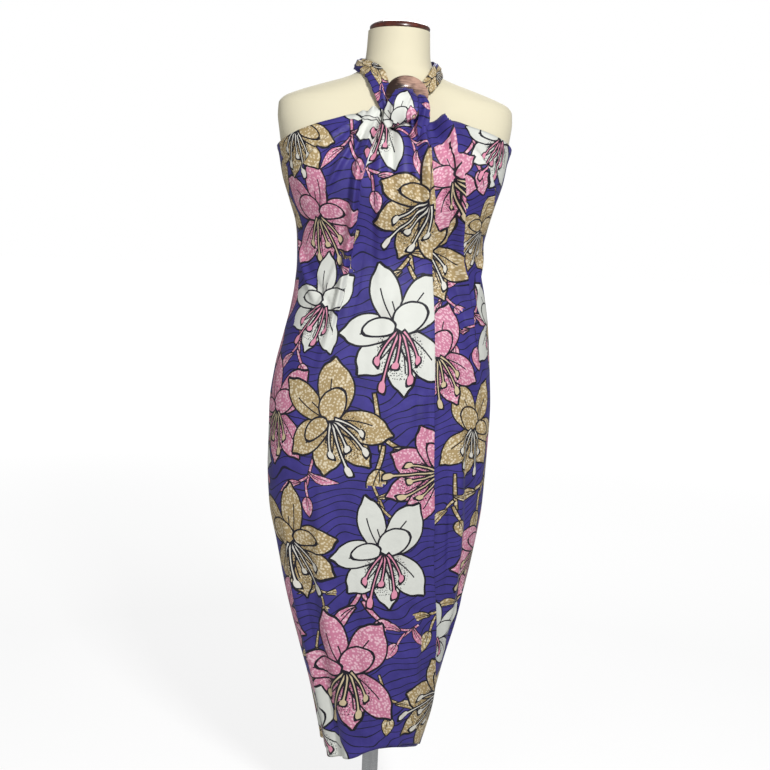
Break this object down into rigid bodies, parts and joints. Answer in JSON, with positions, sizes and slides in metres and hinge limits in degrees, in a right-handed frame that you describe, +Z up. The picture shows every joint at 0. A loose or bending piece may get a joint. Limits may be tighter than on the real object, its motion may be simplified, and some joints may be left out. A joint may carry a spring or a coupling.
{
  "type": "sarong worn as a halter dress, on a limbless dress form with a stand",
  "caption": "Printed cotton sarong wrapped as a halter dress, gathered over a shell ring and tied at the nape, on a dress form and stand.",
  "frame": {"origin": "centre of the base plate's underside, on the floor", "axes": "+Z up, the front of the garment faces -Y, the wearer's left is +X"},
  "size_m": [0.426, 0.4, 1.4973],
  "materials": {
    "printed_cotton": "wax-print cotton with a faint sheen",
    "coconut_shell": "polished coconut shell with pale streaks",
    "form_cover": "cream knitted cover, matt",
    "stained_wood": "dark reddish stain, satin lacquer",
    "satin_steel": "satin steel tube",
    "base_enamel": "off-white powder coat"
  },
  "bodies": {
    "root": {"wrap_front_over": "printed_cotton", "wrap_front_under": "printed_cotton", "wrap_back": "printed_cotton", "knot_roll": "printed_cotton", "side_fold": "printed_cotton", "strap_wearer_right": "printed_cotton", "strap_wearer_left": "printed_cotton", "nape_knot": "printed_cotton", "tail_wearer_right": "printed_cotton", "tail_wearer_left": "printed_cotton", "shell_ring": "coconut_shell", "form_torso": "form_cover", "neck_cap": "stained_wood", "stand_pole": "satin_steel", "stand_base": "base_enamel"}
  },
  "joints": []
}
